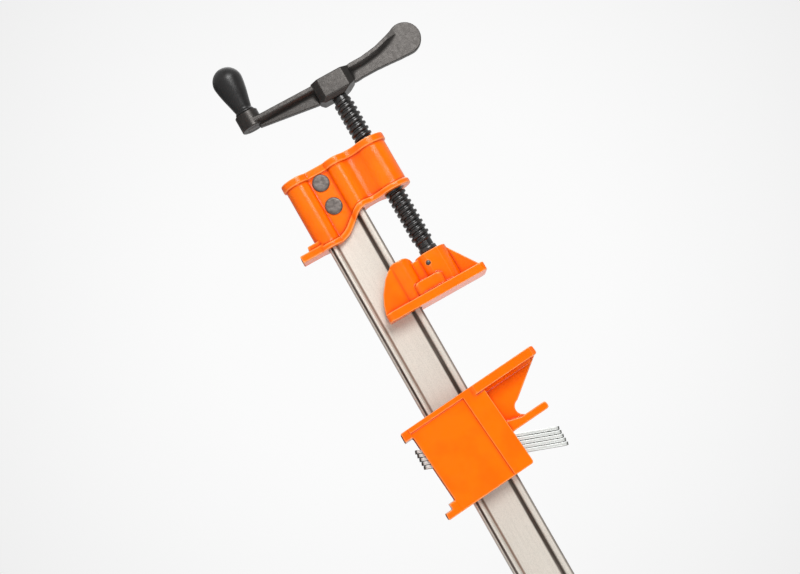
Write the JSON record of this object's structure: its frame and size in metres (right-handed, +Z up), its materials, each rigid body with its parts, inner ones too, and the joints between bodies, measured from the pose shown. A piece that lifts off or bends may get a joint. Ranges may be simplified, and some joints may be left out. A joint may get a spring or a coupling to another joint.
{
  "type": "bar clamp",
  "caption": "Steel I-bar clamp with a crank-driven screw head, a sliding pressure pad and a tail jaw that a lever clutch locks anywhere along the bar.",
  "frame": {"origin": "on the bench under the middle of the head's foot", "axes": "+X along the bar from the crank end to the tail, +Z up from the feet through bar and screw, +Y across the bar, away from the picture's viewer"},
  "size_m": [0.9627, 0.04, 0.2004],
  "materials": {
    "orange_paint": "gloss paint on cast iron",
    "bar_plating": "rolled steel, dull plated",
    "zinc_plating": "bright zinc",
    "oxide_steel": "black oxide",
    "black_iron": "dark satin casting",
    "black_plastic": "satin black",
    "raw_steel": "plain steel"
  },
  "bodies": {
    "frame": {"i_bar": "bar_plating", "head_casting": "orange_paint", "head_rivet_rear": "raw_steel", "head_rivet_front": "raw_steel", "bar_stop_pin": "raw_steel"},
    "pad": {"pressure_pad": "orange_paint", "pad_pin": "raw_steel"},
    "screw": {"clamp_screw": "oxide_steel", "crank_handle": "black_iron", "knob_spindle": "raw_steel"},
    "knob": {"knob": "black_plastic"},
    "tail_jaw": {"tail_jaw": "orange_paint", "clutch_spring": "raw_steel"},
    "disc_1": {"clutch_disc_1": "zinc_plating"},
    "disc_2": {"clutch_disc_2": "zinc_plating"},
    "disc_3": {"clutch_disc_3": "zinc_plating"},
    "disc_4": {"clutch_disc_4": "zinc_plating"},
    "disc_5": {"clutch_disc_5": "zinc_plating"}
  },
  "joints": [
    {"name": "pad_feed", "type": "slide", "parent": "frame", "child": "pad", "axis": [1, 0, 0], "range_m": [-0.0505, 0.0465]},
    {"name": "screw_turn", "type": "hinge", "parent": "pad", "child": "screw", "pos_m": [0, 0, 0.1054], "axis": [1, 0, 0], "range_deg": [-3396, 3124]},
    {"name": "knob_spin", "type": "hinge", "parent": "screw", "child": "knob", "pos_m": [-0.17, 0, 0.0218], "axis": [1, 0, 0], "continuous": true},
    {"name": "jaw_slide", "type": "slide", "parent": "frame", "child": "tail_jaw", "axis": [1, 0, 0], "range_m": [-0.031, 0.485]},
    {"name": "disc_1_tilt", "type": "hinge", "parent": "tail_jaw", "child": "disc_1", "pos_m": [0.23121, 0, 0.086], "axis": [0, 1, 0], "range_deg": [-6, 0], "stiffness_Nm_per_rad": 3, "springref_deg": 3.44, "deforming": ["clutch_spring"]},
    {"name": "disc_2_tilt", "type": "hinge", "parent": "tail_jaw", "child": "disc_2", "pos_m": [0.23515, 0, 0.086], "axis": [0, 1, 0], "range_deg": [-6, 0]},
    {"name": "disc_3_tilt", "type": "hinge", "parent": "tail_jaw", "child": "disc_3", "pos_m": [0.23909, 0, 0.086], "axis": [0, 1, 0], "range_deg": [-6, 0]},
    {"name": "disc_4_tilt", "type": "hinge", "parent": "tail_jaw", "child": "disc_4", "pos_m": [0.24303, 0, 0.086], "axis": [0, 1, 0], "range_deg": [-6, 0]},
    {"name": "disc_5_tilt", "type": "hinge", "parent": "tail_jaw", "child": "disc_5", "pos_m": [0.24697, 0, 0.086], "axis": [0, 1, 0], "range_deg": [-6, 0]}
  ],
  "couplings": [
    {"joint": "pad_feed", "follows": "screw_turn", "m_per_rad": 0.00084352},
    {"joint": "disc_2_tilt", "follows": "disc_1_tilt", "ratio": 1},
    {"joint": "disc_3_tilt", "follows": "disc_1_tilt", "ratio": 1},
    {"joint": "disc_4_tilt", "follows": "disc_1_tilt", "ratio": 1},
    {"joint": "disc_5_tilt", "follows": "disc_1_tilt", "ratio": 1}
  ]
}
